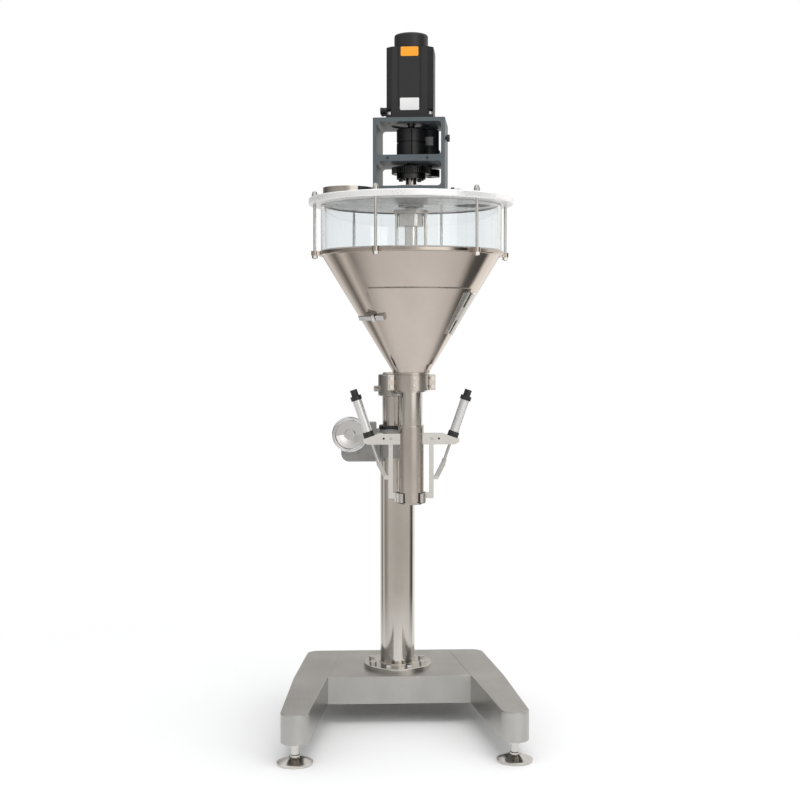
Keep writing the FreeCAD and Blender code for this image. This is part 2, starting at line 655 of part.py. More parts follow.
def clamp_cylinder():
    """Nose, barrel and end cap of the air cylinder, standing on the arm's sloped seat."""
    barrel_from = CYL_SEAT + ROD_DIR * CYL_NOSE_L
    barrel_to = barrel_from + ROD_DIR * CYL_BARREL_L
    cap_to = barrel_to + ROD_DIR * CYL_CAP_L
    port_to = cap_to + ROD_DIR * CYL_PORT_L
    cavity = rod_between(barrel_from, barrel_to, CYL_BORE_R)
    barrel = rod_between(barrel_from, barrel_to, CYL_BARREL_R).cut(cavity)
    nose = rod_between(CYL_SEAT, barrel_from, CYL_NOSE_R)
    nose = nose.cut(rod_between(CYL_SEAT - ROD_DIR, barrel_from + ROD_DIR, ROD_R + RUN_GAP))
    cap = rod_between(barrel_to, cap_to, CYL_NOSE_R).fuse(rod_between(cap_to, port_to, CYL_PORT_R))
    return barrel, nose, cap.removeSplitter()


def clamp_rod():
    """Piston, rod and flat eye; the rod slides along the cylinder axis."""
    inside = CYL_SEAT + ROD_DIR * (CYL_NOSE_L + 8)
    rod = rod_between(ROD_PIN + ROD_DIR * 4, inside, ROD_R)
    piston = rod_between(inside, inside + ROD_DIR * 12, CYL_BORE_R - RUN_GAP)
    neck = rod_between(ROD_PIN + ROD_DIR * 5, ROD_PIN + ROD_DIR * 16, 6.0)
    eye = rod_between(ROD_PIN - V(0, EYE_HALF, 0), ROD_PIN + V(0, EYE_HALF, 0), EYE_R)
    body = fuse([rod, piston, neck, eye])
    half = EYE_HALF + LINK_T + 1
    clear = box(ROD_PIN.x - 12, ROD_PIN.x + 12, EYE_HALF, half + 6, ROD_PIN.z - 12, ROD_PIN.z + 8)
    body = body.cut(clear).cut(clear.mirror(V(0, 0, 0), V(0, 1, 0)))
    return body.cut(rod_between(ROD_PIN - V(0, 20, 0), ROD_PIN + V(0, 20, 0), JAW_PIN_R)).removeSplitter()


def link_plate(y0, y1):
    """One side plate: a close hole on the rod's pin and an easy one on the jaw's pin."""
    along = JAW_PIN - ROD_PIN
    length = math.hypot(along.x, along.z)
    side = V(-along.z / length, 0, along.x / length) * (LINK_W / 2)
    lift = V(0, y0, 0)
    points = [ROD_PIN + side + lift, JAW_PIN + side + lift, JAW_PIN - side + lift, ROD_PIN - side + lift]
    plate = prism(points, V(0, y1 - y0, 0))
    for pin in (ROD_PIN, JAW_PIN):
        plate = plate.fuse(rod_between(V(pin.x, y0, pin.z), V(pin.x, y1, pin.z), LINK_W / 2))
    for pin, hole in ((ROD_PIN, JAW_PIN_R + RUN_GAP), (JAW_PIN, JAW_PIN_R + JAW_SLACK)):
        plate = plate.cut(rod_between(V(pin.x, y0 - 1, pin.z), V(pin.x, y1 + 1, pin.z), hole))
    return plate.removeSplitter()


def headed_pin(centre, half_length, head_r):
    shank = rod_between(centre - V(0, half_length, 0), centre + V(0, half_length, 0), JAW_PIN_R)
    front = rod_between(centre - V(0, half_length + 2.5, 0), centre - V(0, half_length, 0), head_r)
    back = rod_between(centre + V(0, half_length, 0), centre + V(0, half_length + 2.5, 0), head_r)
    return fuse([shank, front, back])


def build_clamp():
    barrel, nose, cap = clamp_cylinder()
    plate_in = EYE_HALF + FACE_GAP
    plate_out = plate_in + LINK_T
    fixed = {
        "clamp_arms": [clamp_arm()],
        "cylinder_barrels": [barrel],
        "cylinder_caps": [nose, cap],
        "jaw_pivot_pins": [headed_pin(V(JAW_PIVOT_X, 0, JAW_PIVOT_Z), CLAMP_HALF_DEPTH, 4.5)],
    }
    moving = {
        "clamp_rod": [clamp_rod(), headed_pin(ROD_PIN, plate_out + FACE_GAP, 4.5)],
        "clamp_link": [link_plate(plate_in, plate_out), link_plate(-plate_out, -plate_in)],
        "clamp_jaw": [jaw(), headed_pin(JAW_PIN, plate_out + FACE_GAP, 5.5)],
        "jaw_rubber": [jaw_rubber()],
    }
    for name, solids in fixed.items():
        save(name, *[on_filler(solid, 0.0) for piece in solids for solid in (piece, mirror_x(piece))])
    for name, solids in moving.items():
        save(name + "_right", *[on_filler(solid, 0.0) for solid in solids])
        save(name + "_left", *[on_filler(mirror_x(solid), 0.0) for solid in solids])


# ---- hopper ----
def on_cone(slant, offset):
    """(r, z) at a distance up the cone's outer face and a distance out from it."""
    return (CONE_R_LOW + slant * CONE_SIN + offset * CONE_COS, CONE_Z + slant * CONE_COS - offset * CONE_SIN)


def slant_at(z):
    return (z - CONE_Z) / CONE_COS


def cone_panel(z0, z1, inner, outer, degrees=360.0, start=0.0):
    s0 = slant_at(z0)
    s1 = slant_at(z1)
    return revolve_rz([on_cone(s0, inner), on_cone(s0, outer), on_cone(s1, outer), on_cone(s1, inner)],
                      degrees, start)


DOOR_IN = DOOR_GAP + SEAL_T
DOOR_OUT = DOOR_IN + DOOR_T
HALF_DOOR = DOOR_SPAN / 2
HALF_OPENING = HALF_DOOR - DOOR_LAP
EDGE_LAP = 6.0


def tie_spots():
    return [around(TIE_CIRCLE_R, 360.0 / ROD_COUNT * (i + 0.5)) for i in range(ROD_COUNT)]


def hopper_cone():
    """Sheet cone with a rolled rim, six rod lugs and the door opening."""
    wall = cone_panel(CONE_Z, CONE_TOP, -CONE_WALL, 0.0)
    foot = revolve_rz([(CONE_R_LOW - CONE_WALL / CONE_COS, CONE_Z), (CONE_R_LOW, CONE_Z), on_cone(3, 0),
                       on_cone(3, -CONE_WALL)])
    rim_in = CLEAR_R - CLEAR_WALL - 2
    rim = revolve_rz([(rim_in, CONE_TOP), (CONE_R_TOP, CONE_TOP - 1), (RIM_R - 1, CONE_TOP),
                      (RIM_R, CONE_TOP + 2), (RIM_R, RIM_TOP - 1), (RIM_R - 1, RIM_TOP), (rim_in, RIM_TOP)])
    body = wall.fuse(foot).fuse(rim)
    for spot in tie_spots():
        arm_dir = V(spot.x, spot.y, 0).normalize()
        side = V(-arm_dir.y, arm_dir.x, 0) * (LUG_R - 1)
        root = arm_dir * (RIM_R - 8) + V(0, 0, RIM_TOP - LUG_H)
        tip = V(spot.x, spot.y, RIM_TOP - LUG_H)
        neck = prism([root - side, tip - side, tip + side, root + side], V(0, 0, LUG_H))
        body = body.fuse(neck).fuse(cylinder(LUG_R, RIM_TOP - LUG_H, RIM_TOP, spot.x, spot.y))
    for spot in tie_spots():
        body = body.cut(cylinder(TIE_R + SLIP_GAP, RIM_TOP - LUG_H - 1, RIM_TOP + 1, spot.x, spot.y))
    opening = cone_panel(DOOR_Z + EDGE_LAP, DOOR_TOP - EDGE_LAP, -CONE_WALL - 3, 3,
                         2 * HALF_OPENING, -HALF_OPENING)
    return body.cut(opening).removeSplitter()


def door_seal():
    outer = cone_panel(DOOR_Z, DOOR_TOP, DOOR_GAP, DOOR_IN - SEAL_LAY, DOOR_SPAN, -HALF_DOOR)
    inner = cone_panel(DOOR_Z + EDGE_LAP, DOOR_TOP - EDGE_LAP, DOOR_GAP - 1, DOOR_IN + 1,
                       2 * HALF_OPENING, -HALF_OPENING)
    return outer.cut(inner)


def generator_point(azimuth, z, offset):
    r, height = on_cone(slant_at(z), offset)
    return around(r, azimuth, height)


class SurfaceFrame:
    """Axes on the cone's outer face: across (to larger azimuth), along (up the cone) and out."""

    def __init__(self, azimuth, z):
        radial = around(1.0, azimuth)
        self.origin = generator_point(azimuth, z, 0.0)
        self.across = V(-radial.y, radial.x, 0)
        self.along = V(radial.x * CONE_SIN, radial.y * CONE_SIN, CONE_COS)
        self.out = V(radial.x * CONE_COS, radial.y * CONE_COS, -CONE_SIN)

    def point(self, across, along, out):
        return self.origin + self.across * across + self.along * along + self.out * out

    def block(self, a0, a1, l0, l1, o0, o1):
        points = [self.point(a0, l0, o0), self.point(a1, l0, o0),
                  self.point(a1, l1, o0), self.point(a0, l1, o0)]
        return prism(points, self.out * (o1 - o0))

    def bar(self, across, out, l0, l1, radius):
        return rod_between(self.point(across, l0, out), self.point(across, l1, out), radius)


def cone_core(offset):
    """Everything inside the cone's outer face, grown outward by offset."""
    low = slant_at(CONE_Z - 20)
    top = slant_at(CONE_TOP)
    foot = on_cone(low, offset)
    head = on_cone(top, offset)
    return revolve_rz([(0, foot[1]), foot, head, (0, head[1])])


def hinge_knuckle(frame, l0, l1, side, floor):
    """Barrel piece and its web; side +1 stands on the cone, -1 on the door."""
    barrel = frame.bar(0, HINGE_HEIGHT, l0, l1, HINGE_R)
    across = sorted((0.0, side * (HINGE_R + 6.0)))
    web = frame.block(across[0], across[1], l0, l1, floor - 3, HINGE_HEIGHT - HINGE_R + 2.5)
    return barrel.fuse(web.cut(cone_core(floor)))


def build_hinge():
    frame = SurfaceFrame(HINGE_AZ, (HINGE_Z + HINGE_TOP) / 2)
    half = (slant_at(HINGE_TOP) - slant_at(HINGE_Z)) / 2
    split = half / 3.0
    bore = frame.bar(0, HINGE_HEIGHT, -half - 4, half + 4, HINGE_PIN_R + RUN_GAP)
    fixed_leaf = cone_panel(HINGE_Z, HINGE_TOP, 0.0, 2.0, HINGE_LEAF_SPAN, HINGE_AZ + HINGE_LEAF_GAP)
    low_knuckle = hinge_knuckle(frame, -half, -split - KNUCKLE_GAP / 2, 1, 0.0)
    top_knuckle = hinge_knuckle(frame, split + KNUCKLE_GAP / 2, half, 1, 0.0)
    fixed = [fixed_leaf, low_knuckle, top_knuckle]
    door_leaf = cone_panel(HINGE_Z, HINGE_TOP, DOOR_OUT, DOOR_OUT + 1.5, HINGE_LEAF_SPAN,
                           HALF_DOOR - HINGE_LEAF_SPAN)
    middle_half = split - KNUCKLE_GAP / 2
    moving = [door_leaf, hinge_knuckle(frame, -middle_half, middle_half, -1, DOOR_OUT)]
    save("hinge_leaf_door", on_filler(fuse(moving).cut(bore)))
    pin = frame.bar(0, HINGE_HEIGHT, -half - 1, half + 1, HINGE_PIN_R)
    save("hinge_leaf_fixed", on_filler(fuse(fixed).cut(bore)), on_filler(pin))


def build_latch():
    """Draw latch across the door's free edge: base and ears on the cone, lever, and keeper on the door."""
    at_edge = SurfaceFrame(-HALF_DOOR, LATCH_Z)
    pivot = -10.0
    height = 11.0
    base = at_edge.block(-40, -3, -9, 9, -4, 3.5)
    for side in (-1, 1):
        near = side * 6.5
        far = side * 9.0
        ear = at_edge.block(pivot - 6, pivot + 6, min(near, far), max(near, far), 3.0, height)
        tip = at_edge.bar(pivot, height, min(near, far), max(near, far), 6.0)
        base = base.fuse(ear).fuse(tip)
    base = base.cut(cone_core(0.0)).cut(at_edge.bar(pivot, height, -20, 20, LATCH_PIN_R))
    lever = at_edge.bar(pivot, height, -6.2, 6.2, LATCH_HUB_R - 0.6)
    lever = lever.fuse(at_edge.block(-58, pivot, -6.2, 6.2, height - 1, height + 3.5))
    lever = lever.cut(at_edge.bar(pivot, height, -20, 20, LATCH_PIN_R + RUN_GAP))
    keeper = at_edge.block(1.0, 26, -7, 7, 0, height + 1)
    keeper = keeper.fuse(at_edge.block(-1.8, 1.5, -6, 6, height - 4, height + 1)).cut(cone_core(DOOR_OUT))
    pin = at_edge.bar(pivot, height, -10.5, 10.5, LATCH_PIN_R)
    save("latch_base", on_filler(base.removeSplitter()), on_filler(pin))
    save("latch_lever", on_filler(lever.removeSplitter()))
    save("latch_keeper", on_filler(keeper.removeSplitter()))


def build_hopper():
    save("hopper_cone", on_filler(hopper_cone()))
    door = cone_panel(DOOR_Z, DOOR_TOP, DOOR_IN, DOOR_OUT, DOOR_SPAN, -HALF_DOOR)
    save("hopper_door", on_filler(door))
    save("door_seal", on_filler(door_seal()))
    build_hinge()
    build_latch()
    low = ring(CLEAR_R, CLEAR_R - CLEAR_WALL, RIM_TOP, RIM_TOP + GASKET_T)
    high = ring(CLEAR_R, CLEAR_R - CLEAR_WALL, LID_Z - GASKET_T, LID_Z)
    save("cylinder_gaskets", on_filler(low), on_filler(high))
    clear = ring(CLEAR_R, CLEAR_R - CLEAR_WALL, RIM_TOP + GASKET_T, LID_Z - GASKET_T)
    save("hopper_cylinder", on_filler(clear))


def build_lid():
    lid = cylinder(LID_R, LID_Z, LID_TOP)
    lid = lid.makeFillet(3.0, [e for e in lid.Edges if e.BoundBox.ZLength < 0.01])
    lid = lid.cut(cylinder(HOUSING_R + 0.05, LID_Z - 1, LID_TOP + 1))
    lid = lid.cut(cylinder(INLET_R - INLET_WALL, LID_Z - 1, LID_TOP + 1, INLET_X, INLET_Y))
    lid = lid.cut(cylinder(COVER_HOLE_R, LID_Z - 1, LID_TOP + 1, COVER_X, COVER_Y))
    rods = []
    nuts = []
    for spot in tie_spots():
        lid = lid.cut(cylinder(TIE_R + SLIP_GAP, LID_Z - 1, LID_TOP + 1, spot.x, spot.y))
        rods.append(cylinder(TIE_R, RIM_TOP - LUG_H - 10, LID_TOP + 8, spot.x, spot.y))
        bore = cylinder(TIE_R, RIM_TOP - LUG_H - 20, LID_TOP + 8, spot.x, spot.y)
        dome = revolve_rz([(0, LID_TOP), (CAP_NUT_R, LID_TOP), (CAP_NUT_R, LID_TOP + 8),
                           (CAP_NUT_R - 2, LID_TOP + 15), (0, LID_TOP + CAP_NUT_H)])
        nuts.append(at(dome, V(spot.x, spot.y, 0)).cut(bore))
        nuts.append(hexagon(14.0, RIM_TOP - LUG_H - 8, 8.0, spot.x, spot.y).cut(bore))
    save("lid", on_filler(lid))
    save("tie_rods", *[on_filler(piece) for piece in rods + nuts])
    bore = INLET_R - INLET_WALL
    spigot = ring(INLET_R, bore, LID_TOP, LID_TOP + INLET_UP, INLET_X, INLET_Y)
    save("inlet_spigot", on_filler(spigot))
    cover = revolve_rz([(0, LID_TOP), (COVER_R, LID_TOP), (COVER_R, LID_TOP + COVER_T - 2),
                        (COVER_R - 2, LID_TOP + COVER_T), (7, LID_TOP + COVER_T), (6, LID_TOP + COVER_T + 5),
                        (10, LID_TOP + COVER_T + 9), (10, LID_TOP + COVER_T + 13),
                        (7, LID_TOP + COVER_T + 16), (0, LID_TOP + COVER_T + 16)])
    save("inspection_cover", on_filler(at(cover, V(COVER_X, COVER_Y, 0))))


# ---- drive ----
def gear(teeth, z0, thickness, bore, phase):
    """Straight spur gear with involute flanks, thinned for backlash; phase in degrees."""
    pitch_r = GEAR_MODULE * teeth / 2.0
    base_r = pitch_r * math.cos(math.radians(20.0))
    tip_r = pitch_r + GEAR_MODULE * 0.95
    root_r = pitch_r - GEAR_MODULE * 1.2
    pressure = math.radians(20.0)
    half_tooth = math.pi / 2 / teeth - BACKLASH / 2 / pitch_r + math.tan(pressure) - pressure
    flank = []
    for i in range(4):
        r = max(base_r, root_r) + (tip_r - max(base_r, root_r)) * i / 3.0
        roll = math.sqrt(max((r / base_r) ** 2 - 1, 0.0))
        flank.append((r, half_tooth - (roll - math.atan(roll))))
    points = []
    for tooth in range(teeth):
        middle = 2 * math.pi * tooth / teeth + math.radians(phase)
        left_side = [(r, -a) for r, a in flank]
        right_side = [(r, a) for r, a in reversed(flank)]
        outline = [(root_r, -flank[0][1])] + left_side + right_side + [(root_r, flank[0][1])]
        points += [V(r * math.cos(middle + a), r * math.sin(middle + a), z0) for r, a in outline]
    return prism(points, V(0, 0, thickness)).cut(cylinder(bore, z0 - 1, z0 + thickness + 1))


def window(z0, z1):
    half = FRAME_W / 2 - FRAME_SIDE
    cut = box(-half, half, -FRAME_D, FRAME_D, z0, z1)
    return cut.makeFillet(WINDOW_R, [e for e in cut.Edges if e.BoundBox.YLength > 1])


def drive_frame():
    """Cast frame with two windows, open front to back."""
    half = FRAME_W / 2
    deep = FRAME_D / 2
    body = box(-half, half, -deep, deep, PLATE_TOP, FRAME_TOP)
    body = body.makeFillet(5.0, [e for e in body.Edges if e.BoundBox.ZLength > 1])
    body = body.cut(window(FLOOR_TOP, MID_Z)).cut(window(MID_TOP, FRAME_TOP - FRAME_RAIL))
    body = body.cut(cylinder(55.0, FRAME_TOP - FRAME_RAIL - 1, FRAME_TOP + 1))
    body = body.cut(cylinder(QUILL_R + 8, MID_Z - 1, MID_TOP + 1))
    body = body.cut(cylinder(HOUSING_R + 0.05, PLATE_TOP - 1, FLOOR_TOP + 1))
    for screw in servo_screw_spots():
        body = body.cut(cylinder(SERVO_SCREW_R, FRAME_TOP - FRAME_RAIL - 1, FRAME_TOP + 1, screw.x, screw.y))
    spot = pinion_spot()
    return body.cut(cylinder(9.0, MID_Z - 1, MID_TOP + 1, spot.x, spot.y))


def pinion_spot():
    a = math.radians(PINION_AZ)
    return V(PINION_AT * math.cos(a), PINION_AT * math.sin(a), 0)


def base_plate():
    plate = box(-PLATE_LEFT, PLATE_RIGHT, -PLATE_HALF, PLATE_HALF, LID_TOP, PLATE_TOP)
    plate = plate.makeFillet(6.0, [e for e in plate.Edges if e.BoundBox.ZLength > 1])
    plate = plate.cut(cylinder(HOUSING_R + 0.05, LID_TOP - 1, PLATE_TOP + 1))
    clear = cylinder(COVER_R + 3, LID_TOP - 1, PLATE_TOP + 1, COVER_X, COVER_Y)
    return plate.cut(turned(clear, HEAD_SWIVEL - DRIVE_TURN))


def stirrer_hub():
    """Quill with the flange and drum that carry the stirrer bars below the lid."""
    bore = DRIVE_SHAFT_R + 3.0
    flange_top = HUB_FLANGE_Z + HUB_FLANGE_T
    quill_top = GEAR_Z + GEAR_T + 2
    outline = [(bore, HUB_CYL_Z), (HUB_CYL_R, HUB_CYL_Z), (HUB_CYL_R, HUB_FLANGE_Z),
               (HUB_FLANGE_R, HUB_FLANGE_Z), (HUB_FLANGE_R, flange_top), (QUILL_R, flange_top),
               (QUILL_R, quill_top), (bore, quill_top)]
    return revolve_rz(outline)


def stirrer():
    """Two upright bars with slanted blades that follow the cone."""
    bottom = CONE_Z + 32.0
    top = HUB_FLANGE_Z
    pieces = []
    for side in (-1, 1):
        x = side * STIR_BAR_AT
        bar = cylinder(STIR_BAR_R, bottom, top, x, 0)
        low_z = bottom + 14
        high_z = CONE_TOP - 40
        wall_gap = CONE_WALL + SCRAPER_GAP
        low_r = on_cone(slant_at(low_z), -wall_gap)[0]
        high_r = on_cone(slant_at(high_z), -wall_gap)[0]
        edge = [V(side * low_r, -2.5, low_z), V(side * high_r, -2.5, high_z),
                V(side * (high_r - 20), -2.5, high_z), V(side * (low_r - 14), -2.5, low_z)]
        blade = prism(edge, V(0, 5, 0))
        tie_z = high_z - 24
        tie = rod_between(V(x, 0, tie_z), V(side * (high_r - 24), 0, tie_z), 4.0)
        low_tie = rod_between(V(x, 0, low_z + 6), V(side * (low_r - 6), 0, low_z + 6), 4.0)
        pieces += [bar, blade, tie, low_tie]
        pieces.append(cylinder(STIR_BAR_AT - HUB_CYL_R - SLIP_GAP, top - 6, top, x, 0))
    pieces.append(ring(STIR_BAR_AT + STIR_BAR_R, STIR_BAR_AT - STIR_BAR_R, bottom, bottom + 8))
    return fuse(pieces)


def auger():
    """Drive shaft, sleeve and tapered core with a helical flight that feeds down the tube."""
    flight_z = TUBE_BOTTOM + 4.0
    flight_top = flight_z + AUGER_PITCH * AUGER_TURNS
    shaft_top = COUPLING_Z + COUPLING_L / 2 - 1
    core = revolve_rz([(0, flight_z - 2), (AUGER_CORE_R - 4, flight_z - 2), (AUGER_CORE_R, flight_z + 6),
                       (AUGER_CORE_R, flight_top + 40), (AUGER_SLEEVE_R, flight_top + 110),
                       (AUGER_SLEEVE_R, HUB_CYL_Z - 1), (DRIVE_SHAFT_R, HUB_CYL_Z - 1),
                       (DRIVE_SHAFT_R, shaft_top), (0, shaft_top)])
    spine = Part.makeHelix(AUGER_PITCH, AUGER_PITCH * AUGER_TURNS, AUGER_CORE_R - 1)
    inner = AUGER_CORE_R - 1
    section = Part.makePolygon([V(inner, 0, -FLIGHT_T / 2), V(AUGER_R, 0, -FLIGHT_T / 2 + 0.8),
                                V(AUGER_R, 0, FLIGHT_T / 2 - 0.8), V(inner, 0, FLIGHT_T / 2),
                                V(inner, 0, -FLIGHT_T / 2)])
    sweep = Part.BRepOffsetAPI.MakePipeShell(Part.Wire(spine.Edges))
    sweep.setBiNormalMode(UP)
    sweep.add(Part.Wire(section.Edges))
    sweep.build()
    sweep.makeSolid()
    flight = sweep.shape()
    flight.translate(V(0, 0, flight_z + FLIGHT_T / 2))
    return core.fuse(flight)


def servo_screw_spots():
    place = SERVO_W / 2 - SERVO_SCREW_IN
    return [V(x, y, 0) for x in (-place, place) for y in (-place, place)]


def servo():
    """Flange with its pilot, and the grooved body with a pocket over each flange screw."""
    half = SERVO_W / 2
    z0 = FRAME_TOP
    z1 = z0 + SERVO_FLANGE_T
    flange = box(-half, half, -half, half, z0, z1)
    flange = flange.makeFillet(8.0, [e for e in flange.Edges if e.BoundBox.ZLength > 1])
    pilot = cylinder(54.9, z0 - 6, z0)
    flange = flange.fuse(pilot).cut(cylinder(14.0, z0 - 7, z1 + 1))
    body = box(-half + 1, half - 1, -half + 1, half - 1, z1, SERVO_TOP)
    body = body.makeChamfer(SERVO_CHAMFER, [e for e in body.Edges if e.BoundBox.ZLength > 1])
    for spin in range(4):
        for x in (-30.0, 30.0):
            groove = box(x - 2.5, x + 2.5, -half, -half + 4, z1 + 22, SERVO_TOP + 1)
            body = body.cut(turned(groove, 90 * spin))
    for spot in servo_screw_spots():
        flange = flange.cut(cylinder(SERVO_SCREW_R, z0 - 1, z1 + 1, spot.x, spot.y))
        body = body.cut(cylinder(SERVO_POCKET_R, z1 - 1, z1 + 16, spot.x, spot.y))
    return flange, body


def servo_screws():
    seat = FRAME_TOP + SERVO_FLANGE_T
    return [cap_screw(SERVO_SCREW_R, 20.0, seat, spot.x, spot.y) for spot in servo_screw_spots()]


def shaft_coupling():
    body = cylinder(COUPLING_R, COUPLING_Z, COUPLING_Z + COUPLING_L)
    edges = [e for e in body.Edges if e.BoundBox.ZLength < 0.01]
    body = body.makeChamfer(2.0, edges)
    body = body.cut(cylinder(DRIVE_SHAFT_R, COUPLING_Z - 1, COUPLING_Z + COUPLING_L + 1))
    body = body.cut(box(3, 5.5, -COUPLING_R - 1, 0, COUPLING_Z - 1, COUPLING_Z + COUPLING_L + 1))
    middle = COUPLING_Z + COUPLING_L / 2
    return body.cut(ring(COUPLING_R + 1, COUPLING_R - 4, middle - 2, middle + 2))


def coupling_screws():
    screws = []
    for z in (COUPLING_Z + 16, COUPLING_Z + COUPLING_L - 16):
        screws.append(rod_between(V(-13, -30, z), V(25, -30, z), 4.0))
    return screws


def on_drive(shape):
    return on_filler(shape, DRIVE_TURN)


def build_drive():
    housing = [(HOUSING_BORE_R, LID_Z - 6), (HOUSING_R, LID_Z - 6), (HOUSING_R, FLOOR_TOP),
               (HOUSING_R + 13, FLOOR_TOP), (HOUSING_R + 13, FLOOR_TOP + 7), (HOUSING_BORE_R, FLOOR_TOP + 7)]
    bearings = [ring(HOUSING_BORE_R, QUILL_R + RUN_GAP, z, z + 12) for z in (LID_Z - 4, FLOOR_TOP - 8)]
    save("bearing_housing", on_drive(revolve_rz(housing)))
    save("quill_bearings", *[on_drive(bearing) for bearing in bearings])
    save("drive_base_plate", on_drive(base_plate()))
    save("drive_frame", on_drive(drive_frame()))
    save("stirrer_hub", on_drive(stirrer_hub()))
    save("stirrer", on_drive(stirrer()))
    bush = ring(DRIVE_SHAFT_R + 3.0, DRIVE_SHAFT_R + RUN_GAP, 0, 24.0)
    save("shaft_bushes", on_drive(at(bush, V(0, 0, HUB_CYL_Z))), on_drive(at(bush, V(0, 0, GEAR_Z - 8))))
    hub_disc = ring(40.0, QUILL_R, GEAR_Z - 14, GEAR_Z)
    screws = [around(30.0, 60.0 * i + 15.0) for i in range(6)]
    screw_solids = [hexagon(10.0, GEAR_Z - 19, 5.0, s.x, s.y) for s in screws]
    wheel = gear(GEAR_TEETH, GEAR_Z, GEAR_T, QUILL_R, PINION_AZ)
    save("stirrer_gear", *[on_drive(piece) for piece in [wheel, hub_disc] + screw_solids])
    spot = pinion_spot()
    pinion_phase = PINION_AZ + 180.0 + 180.0 / PINION_TEETH
    pinion = gear(PINION_TEETH, GEAR_Z - 1, GEAR_T + 2, PINION_SHAFT_R, pinion_phase)
    pinion_shaft = cylinder(PINION_SHAFT_R, GEAR_Z - 3, MID_TOP + 6, spot.x, spot.y)
    save("stirrer_pinion", on_drive(at(pinion, spot)), on_drive(pinion_shaft))
    bore = PINION_SHAFT_R + RUN_GAP
    gearmotor = revolve_rz([(bore, MID_TOP), (MOTOR_R, MID_TOP), (MOTOR_R, MID_TOP + 30),
                            (MOTOR_R - 3, MID_TOP + 31), (MOTOR_R - 3, MID_TOP + 84),
                            (MOTOR_R - 6, MID_TOP + 87), (0, MID_TOP + 87), (0, MID_TOP + 7),
                            (bore, MID_TOP + 7)])
    save("stirrer_motor", on_drive(at(gearmotor, spot)))
    clamp_screws = coupling_screws()
    coupling = shaft_coupling().cut(fuse(clamp_screws))
    save("shaft_coupling", *[on_drive(piece) for piece in [coupling] + clamp_screws])
    servo_shaft = cylinder(DRIVE_SHAFT_R, COUPLING_Z + COUPLING_L / 2 + 1, FRAME_TOP + 4)
    save("auger", on_drive(auger()), on_drive(servo_shaft))
    flange, body = servo()
    cap_top = SERVO_TOP + ENCODER_H
    cap = [(0, SERVO_TOP), (ENCODER_R, SERVO_TOP), (ENCODER_R, cap_top - 5), (ENCODER_R - 2, cap_top - 1.5),
           (ENCODER_R - 6, cap_top), (0, cap_top)]
    motor = [flange, body, revolve_rz(cap)]
    save("servo_motor", *[on_drive(piece) for piece in motor])


build_base()
build_column()
build_lift()
build_head_support()
build_clamp()
build_hopper()
build_lid()
build_drive()
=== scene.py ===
"""Looks of the auger powder filler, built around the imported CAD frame.  Metres, +Z up."""
import math

import bmesh
import bpy
from mathutils import Matrix, Vector


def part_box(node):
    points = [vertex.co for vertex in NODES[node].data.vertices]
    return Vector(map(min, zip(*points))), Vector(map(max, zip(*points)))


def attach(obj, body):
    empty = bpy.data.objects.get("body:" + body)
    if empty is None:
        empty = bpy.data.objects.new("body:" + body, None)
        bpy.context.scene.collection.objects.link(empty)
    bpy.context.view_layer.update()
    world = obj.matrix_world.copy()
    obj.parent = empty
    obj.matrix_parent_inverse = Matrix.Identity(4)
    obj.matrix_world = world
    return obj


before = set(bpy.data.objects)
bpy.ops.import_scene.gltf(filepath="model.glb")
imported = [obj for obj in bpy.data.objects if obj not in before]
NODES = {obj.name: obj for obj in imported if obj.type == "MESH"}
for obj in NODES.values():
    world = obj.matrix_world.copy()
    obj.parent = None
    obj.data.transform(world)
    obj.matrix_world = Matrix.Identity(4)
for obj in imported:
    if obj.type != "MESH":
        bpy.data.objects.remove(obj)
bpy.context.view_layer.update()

# ---- places taken from the CAD frame ----
BARREL_LOW, BARREL_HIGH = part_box("filler_tube")
FX = (BARREL_LOW[0] + BARREL_HIGH[0]) / 2
FY = (BARREL_LOW[1] + BARREL_HIGH[1]) / 2
COLUMN_LOW, COLUMN_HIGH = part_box("column_tube")
CY = (COLUMN_LOW[1] + COLUMN_HIGH[1]) / 2
COLUMN_R = (COLUMN_HIGH[0] - COLUMN_LOW[0]) / 2
HEAD_TURN = math.radians(7)         # swivel of the head about the column
DRIVE_TURN = math.radians(-7)       # turn of the drive frame on the lid


def corners(node):
    """Lowest and highest corner of a CAD node as vectors."""
    low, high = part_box(node)
    return Vector(low), Vector(high)


